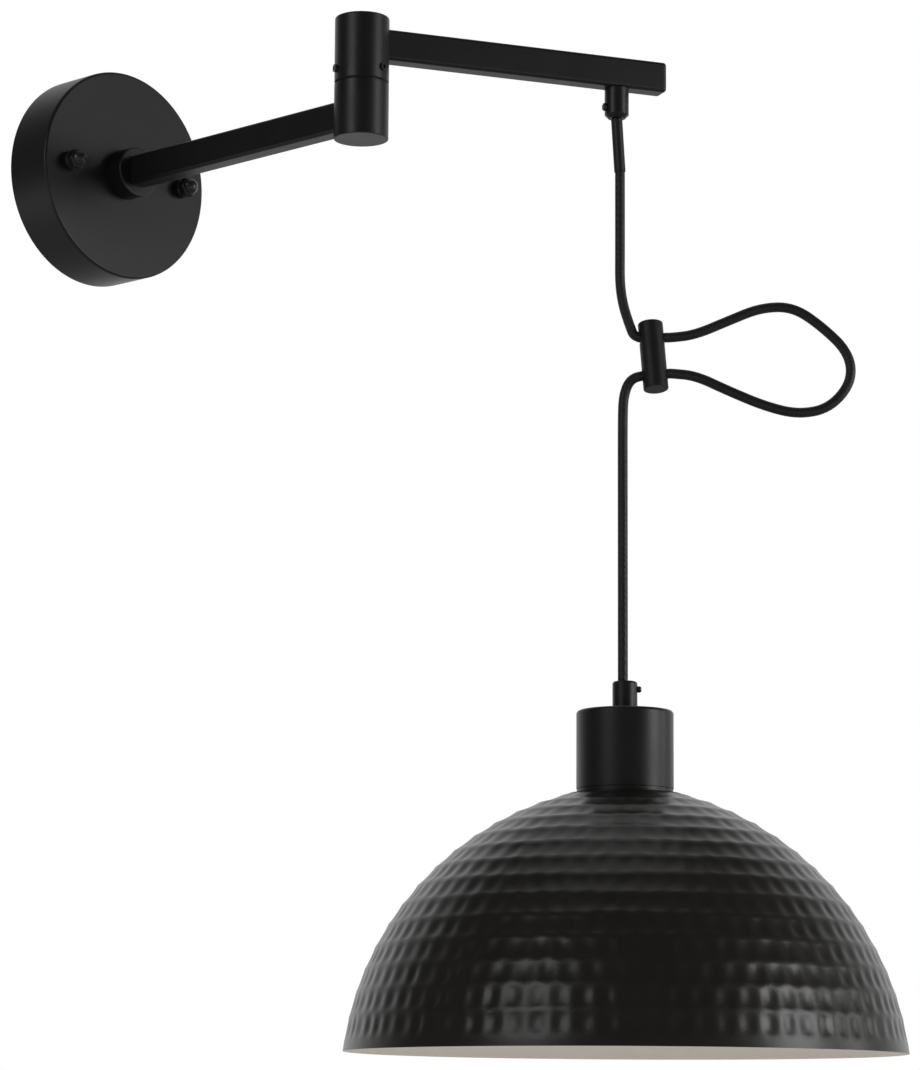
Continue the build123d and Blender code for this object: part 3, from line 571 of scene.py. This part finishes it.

# The lower run stretches and shortens with the height of the lamp; here it is made as a smooth
# mesh.
lower_points = [hang(lower_hole), hang(lower_hole) - past_bar]
lower_points += [hang(point) for point in [
    (2.5, -1.6, -134.5), (-0.8, -0.9, -143.5), (-1.1, 0, -158), (-1.1, 0, -190), (-1.1, 0, -230),
    (-1.1, 0, -270), (-1.1, 0, -308.5)]]
lower_line = run_of("lower_line", lower_points, thick=False)
line_mesh = bpy.data.meshes.new_from_object(lower_line)
bpy.data.objects.remove(lower_line)
lower_run = run_of("lamp_cord", lower_points)
pick(lower_run)
bpy.ops.object.convert(target="MESH")
lower_run = bpy.context.object
bpy.ops.object.shade_smooth_by_angle(angle=radians(60))
lower_run.data.materials.clear()
lower_run.data.materials.append(braided("braid_lower", 188.0))
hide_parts("cord_lower_run")
tuple(hang((-1.1, 0, -160)) * MM)
tuple(hang((-1.1, 0, -292)) * MM)
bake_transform(lower_run)
dress(braided("braid_neck", 30.0), "cord_braid", "neck_cord")

# ---- Adjuster -----------------------------------------------------------------------------------
# A turned black bar with two cross holes; the cord's friction in them holds the lamp's height.
bar_axis = (across * sin(tilt) - up * cos(tilt)) * cos(lean) - away * sin(lean)
half, bar_edge, hole_radius, drill_half = adjuster_length / 2, 0.7, 3.5, 12
bar = turn_up("cord_adjuster_bar", [
    (0, -half), (adjuster_radius - bar_edge, -half)]
    + rounded((adjuster_radius - bar_edge, bar_edge - half), bar_edge, -90, 0, 5)
    + rounded((adjuster_radius - bar_edge, half - bar_edge), bar_edge, 0, 90, 5)
    + [(0, half)], sides=128)
settle(bar, hang((15.6, 0, -120.7)), bar_axis)
for number, place in enumerate((upper_hole, lower_hole)):
    drill = turn_up(f"drill_{number}", [(0, -drill_half), (hole_radius, -drill_half),
                                        (hole_radius, drill_half), (0, drill_half)], sides=48)
    settle(drill, hang(place), hole_direction)
    cut = bar.modifiers.new("hole", "BOOLEAN")
    cut.operation, cut.object, cut.solver = "DIFFERENCE", drill, "EXACT"
    pick(bar)
    bpy.ops.object.modifier_apply(modifier="hole")
    bpy.data.objects.remove(drill)
ease(bar, 0)
bar_black, tree, shader = finish_of("moulded_black", (0.0055, 0.0055, 0.0056), 0.49)
swirl = noise(tree, 0.006, 4.0)
feed(tree, shader, Roughness=swirl * 0.14 + 0.42)
fit(bar, "cord_hanger", "black_plastic", bar_black, "cord_adjuster")
dress(bar_black, "black_plastic", "elbow_washer")

# ---- Lamp grip ----------------------------------------------------------------------------------
# The lamp's own ferrule: a turned boss on the cup with the cord let into it off centre, and a
# clamp screw in its side.
lamp_grip_radius, lamp_grip_top, lamp_grip_edge, cup_top = 6.75, -300.0, 1.6, -316.0
lamp_grip_bore = cord_radius + 1.4          # wide enough for the cord off its centre
lamp_grip = turn_up("lamp_cord_ferrule", ring_of(
    [(lamp_grip_bore, lamp_grip_top), (lamp_grip_radius - 1.5, lamp_grip_top)]
    + rounded((lamp_grip_radius - lamp_grip_edge, lamp_grip_top - lamp_grip_edge),
              lamp_grip_edge, 88, 0, 7)
    + [(lamp_grip_radius, cup_top), (lamp_grip_bore, cup_top)]), sides=96)
ease(settle(lamp_grip, shade_axis), 0)
fit(lamp_grip, "lamp_head", "black_paint", black_paint, "lamp_cord_grip")
dress(screw_black, "black_screw", "lamp_grip_screw")

# ---- Lamp cup -----------------------------------------------------------------------------------
# A spun steel cup over the lampholder, closed at the top with a rolled edge.
cup_radius, cup_height, cup_wall, cup_edge, cup_bore = 26.2, 42.5, 1.2, 2.0, 5.2
cup_low = cup_top - cup_height
cup = turn_up("lampholder_cup", ring_of(
    [(cup_bore, cup_top), (cup_radius - cup_edge, cup_top)]
    + rounded((cup_radius - cup_edge, cup_top - cup_edge), cup_edge, 90, 0, 9)
    + [(cup_radius, cup_low + 0.25), (cup_radius - 0.25, cup_low),
       (cup_radius - cup_wall, cup_low), (cup_radius - cup_wall, cup_top - cup_wall),
       (cup_bore, cup_top - cup_wall)]), sides=160)
ease(settle(cup, shade_axis), 0)
fit(cup, "lamp_head", "black_paint", black_paint, "lamp_cup")

# ---- Lampholder ---------------------------------------------------------------------------------
# An E27 holder: moulded cap and body, a white ceramic insert with the contacts, and the threaded
# shell. Only its mouth shows, from below.
ceramic, tree, shader = finish_of("glazed_ceramic", (0.80, 0.79, 0.75), 0.2, Coat_Weight=0.3)
speck = noise(tree, 0.0015, 5.0)
feed(tree, shader, Base_Color=tinted(tree, speck, (0.74, 0.73, 0.69), (0.84, 0.83, 0.80)))
dress(ceramic, "ceramic", "lampholder_insert")
moulded, tree, shader = finish_of("moulded_holder", (0.016, 0.016, 0.016), 0.4)
haze = noise(tree, 0.002, 4.0)
feed(tree, shader, Roughness=haze * 0.2 + 0.3, Normal=bumped(tree, haze, 0.15))
dress(moulded, "black_plastic", "lampholder_cap", "lampholder_body", "shade_ring")

# ---- Shade disc ---------------------------------------------------------------------------------
# A turned washer on the holder that presses on the shade's neck, with a raised middle.
disc_radius, hub_radius, holder_hole, disc_low, disc_high = 31.0, 25.9, 20.3, -362.2, -361.1
disc = turn_up("shade_washer", ring_of(
    [(holder_hole, disc_low), (disc_radius - 0.3, disc_low), (disc_radius, disc_low + 0.35),
     (disc_radius - 0.3, disc_high), (hub_radius, disc_high), (hub_radius, cup_low),
     (holder_hole, cup_low)]), sides=160)
ease(settle(disc, shade_axis), 0)
fit(disc, "lamp_head", "black_paint", black_paint, "shade_disc")

# ---- Shade --------------------------------------------------------------------------------------
# A dome spun from thin steel sheet and planished by hand: rows of shallow dents above a plain rim
# band, about 12 mm wide, each row struck with its own count. Satin black outside, and sprayed a
# warm white inside.
rim_radius, shade_height, neck_radius, curve_radius = 150.0, 136.5, 34.5, 161.7
shade_wall, rim_band, rim_roll, rows, dent_width, flat_edge = 1.0, 5.4, 0.5, 14, 12.0, 27.0
ring_depth, ring_gain, ring_most = 0.26, 0.04, 0.56     # of the rows, the lowest first
dent_depth, dent_loss, dent_least = 0.56, 0.024, 0.30
border_drift, lightest_blow, hardest_blow, wave_height = 0.11, 0.75, 1.25, 0.018
shade_low = disc_low - shade_height
chord = hypot(rim_radius - neck_radius, shade_height)
inward = sqrt(curve_radius**2 - chord**2 / 4)
arc_r = (rim_radius + neck_radius) / 2 - inward * shade_height / chord
arc_z = shade_height / 2 - inward * (rim_radius - neck_radius) / chord
rim_turn = atan2(-arc_z, rim_radius - arc_r)
neck_turn = atan2(shade_height - arc_z, neck_radius - arc_r)
band_turn = rim_band / curve_radius
row_turn = (neck_turn - rim_turn - band_turn) / rows


def row_cells(row, chance):
    """Where the dents of a row meet, as turns round the shade, and how hard each was struck."""
    radius = arc_r + curve_radius * cos(rim_turn + band_turn + (row + 0.5) * row_turn)
    count = round(2 * pi * radius / dent_width)
    drift = chance.uniform(-border_drift, border_drift, count)
    borders = (np.arange(count) + drift) / count + chance.uniform(0, 1)
    return np.sort(borders % 1.0), chance.uniform(lightest_blow, hardest_blow, count + 1)


def dent_depths(columns, row, heights, cells):
    """How far each point of a row lies under the plain dome, in millimetres."""
    borders, blows = cells
    turns = np.arange(columns) / columns
    after = np.searchsorted(borders, turns, side="right")
    low = np.where(after > 0, borders[after - 1], borders[-1] - 1)
    high = np.where(after < len(borders), borders[after % len(borders)], borders[0] + 1)
    in_cell = 2 * (turns - low) / (high - low) - 1
    ring = min(ring_depth + ring_gain * row, ring_most)
    dent = max(dent_depth - dent_loss * row, dent_least)
    across_row = (1 - (2 * heights - 1)**2)[:, None]
    blow = blows[after % len(borders)]
    hollow = (0.5 + 0.5 * np.cos(pi * in_cell)) * blow
    return across_row * (ring + dent * hollow)


def dented_dome(name, columns, steps, under, outwards):
    """The dome as a sheet of columns and rows, struck row by row from the same seed. It lies that
    far under the outside, and ends in the flat top."""
    chance = np.random.default_rng(14)
    turns = 2 * pi * np.arange(columns) / columns
    heights = np.arange(steps) / steps
    band = [rim_turn, rim_turn, rim_turn + 0.08 * band_turn, rim_turn + 0.5 * band_turn]
    levels = [np.full((1, columns), turn) for turn in band]
    depths = [np.full((1, columns), rim_roll)] + [np.full((1, columns), under)] * 3
    edge = np.zeros(columns)
    for row in range(rows):
        cells = row_cells(row, chance)
        waves = [chance.uniform(0, 2 * pi) for _ in range(3)]
        next_edge = wave_height * (np.sin(5 * turns + waves[0]) + np.sin(13 * turns + waves[1])
                                   + np.sin(37 * turns + waves[2]))
        if row == rows - 1:
            next_edge = np.zeros(columns)
        rise = heights[:, None] * (1 + next_edge) + (1 - heights[:, None]) * edge
        levels.append(rim_turn + band_turn + (row + rise) * row_turn)
        depths.append(dent_depths(columns, row, heights, cells) + under)
        edge = next_edge
    levels.append(np.full((1, columns), neck_turn))
    depths.append(np.full((1, columns), under))
    level, depth = np.vstack(levels), np.vstack(depths)
    turns, level, depth = (np.concatenate([grid, grid[..., :1]], axis=-1)
                           for grid in (turns, level, depth))
    top = np.ones_like(turns)
    radius = np.vstack([arc_r + (curve_radius - depth) * np.cos(level),
                        flat_edge * top, holder_hole * top])
    height = np.vstack([shade_low + arc_z + (curve_radius - depth) * np.sin(level),
                        (disc_low - under) * top, (disc_low - under) * top])
    places = np.stack([shade_axis.x + radius * np.cos(turns),
                       shade_axis.y + radius * np.sin(turns), height], axis=2) * MM
    clear_selection()
    bpy.ops.mesh.primitive_grid_add(x_subdivisions=columns, y_subdivisions=len(height) - 1, size=1)
    piece = bpy.context.object
    piece.name = piece.data.name = name
    piece.data.vertices.foreach_set("co", places.reshape(-1).astype(np.float32))
    pick(piece)
    bpy.ops.object.mode_set(mode="EDIT")
    bpy.ops.mesh.select_mode(type="VERT")
    bpy.ops.mesh.select_all(action="SELECT")
    bpy.ops.mesh.remove_doubles(threshold=1e-6)
    bpy.ops.object.mode_set(mode="OBJECT")
    faces = piece.data.polygons
    middle = faces[len(faces) // 2]
    out = middle.center - shade_axis * MM
    out.z = 0
    if (middle.normal.dot(out) > 0) != outwards:
        bpy.ops.object.mode_set(mode="EDIT")
        bpy.ops.mesh.select_all(action="SELECT")
        bpy.ops.mesh.flip_normals()
        bpy.ops.object.mode_set(mode="OBJECT")
    bpy.ops.object.shade_smooth_by_angle(angle=radians(60))
    return piece


shade_black, tree, shader = finish_of("satin_black_shade", (0.0075, 0.0071, 0.0066), 0.36,
                                      Specular_IOR_Level=0.5)
peel = noise(tree, 0.0013, 2.0)
wear = noise(tree, 0.03, 4.0)
worn = tinted(tree, wear, (0.0152, 0.0136, 0.0114), (0.0188, 0.0168, 0.0142))
feed(tree, shader, Base_Color=worn, Roughness=wear * 0.10 + 0.27,
     Normal=bumped(tree, peel, 0.08, 0.0004))
shade_outer = dented_dome("shade_outside", 900, 7, 0.0, True)
fit(shade_outer, "lamp_head", "shade_metal", shade_black, "shade")

shade_white, tree, shader = finish_of("warm_white_lining", (0.80, 0.75, 0.68), 0.55)
mist = noise(tree, 0.01, 5.0)
fine = noise(tree, 0.0012, 2.0)
feed(tree, shader, Base_Color=tinted(tree, mist, (0.78, 0.73, 0.66), (0.82, 0.77, 0.70)),
     Normal=bumped(tree, fine, 0.12, 0.0004))
shade_inner = dented_dome("shade_inside", 640, 5, shade_wall, False)
fit(shade_inner, "lamp_head", "shade_metal", shade_white)

# ---- Room and light -----------------------------------------------------------------------------
# A white studio: a pale floor far below, a softbox on each side of the light, a small one by the
# right and a large one over it, and a white surround that is dim on the camera's side. The floor
# looks darker near the light in reflections than it looks to the camera.
bpy.ops.mesh.primitive_plane_add(size=60, location=(0.1, -0.2, -5.0))
floor = bpy.context.object
floor.name = "pale_floor"
floor_paint, tree, shader = finish_of("pale_floor_paint", (0.82, 0.82, 0.82), 0.9,
                                      Specular_IOR_Level=0.1, Emission_Color=(1, 1, 1, 1))
floor.data.materials.append(floor_paint)
camera_ray = node(tree, "ShaderNodeLightPath")
glossy_ray = Link(tree, camera_ray.socket.node.outputs["Is Glossy Ray"])
reach = node(tree, "ShaderNodeVectorMath", {"operation": "LENGTH"},
             [node(tree, "ShaderNodeNewGeometry")], output=1)
near = node(tree, "ShaderNodeMapRange", {"interpolation_type": "SMOOTHSTEP"},
            {0: reach, 1: 8.0, 2: 17.0, 3: 1.0, 4: 0.0})
feed(tree, shader, Emission_Strength=camera_ray * 0.35 + 0.46 - glossy_ray * near * 0.45)


def softbox(name, place, aim, size, power):
    data = bpy.data.lights.new(name, "AREA")
    data.shape, data.size, data.size_y, data.energy = "RECTANGLE", size[0], size[1], power
    lamp = bpy.data.objects.new(name, data)
    bpy.context.scene.collection.objects.link(lamp)
    lamp.location = place
    lamp.rotation_mode = "QUATERNION"
    lamp.rotation_quaternion = (Vector(aim) - Vector(place)).to_track_quat("-Z", "Y")


target = (0.1, -0.25, -0.3)
softbox("softbox_left", (-2.4, -0.30, 0.70), target, (1.0, 1.0), 8)
softbox("softbox_right", (1.18, -2.67, 0.22), target, (1.0, 1.0), 18)
softbox("softbox_side", (2.07, -1.71, -0.05), target, (0.45, 0.7), 3.5)
softbox("softbox_over", (0.4, 0.3, 2.6), target, (2.2, 2.2), 6.5)

world = bpy.data.worlds.new("studio")
bpy.context.scene.world = world
world.use_nodes = True
tree = world.node_tree
shell = tree.nodes["Background"]
camera_ray = node(tree, "ShaderNodeLightPath")
direction = node(tree, "ShaderNodeTexCoord", output=0)
back = node(tree, "ShaderNodeVectorMath", {"operation": "DOT_PRODUCT"},
            {0: direction, 1: (0.725, 0.689, 0.0)}, output=1)
behind = node(tree, "ShaderNodeMapRange", {"interpolation_type": "SMOOTHSTEP"},
              {0: back, 1: 0.25, 2: 0.95, 3: 0.065, 4: 1.0})
level = node(tree, "ShaderNodeMix", {"data_type": "FLOAT"}, {0: camera_ray, 2: behind, 3: 1.0})
tree.links.new(level.socket, shell.inputs["Strength"])
shell.inputs["Color"].default_value = (1, 1, 1, 1)

# ---- Camera -------------------------------------------------------------------------------------
# From the light's left and a little under it, looking up at its underside.
eye = Vector((-1.358498, -1.586837, -0.545567))
heading, rise, bank = radians(46.47), radians(9.324), radians(0.372)
ahead = Vector((sin(heading) * cos(rise), cos(heading) * cos(rise), sin(rise)))
level_right = Vector((cos(heading), -sin(heading), 0))
level_up = level_right.cross(ahead)
right = level_right * cos(bank) + level_up * sin(bank)
top = -level_right * sin(bank) + level_up * cos(bank)
lens = bpy.data.cameras.new("view_from_below")
lens.lens, lens.sensor_width = 124.28, 36.0
camera = bpy.data.objects.new("view_from_below", lens)
bpy.context.scene.collection.objects.link(camera)
camera.matrix_world = Matrix.Translation(eye) @ Matrix((right, top, -ahead)).transposed().to_4x4()
bpy.context.scene.camera = camera
bpy.context.scene.view_settings.view_transform = "Standard"
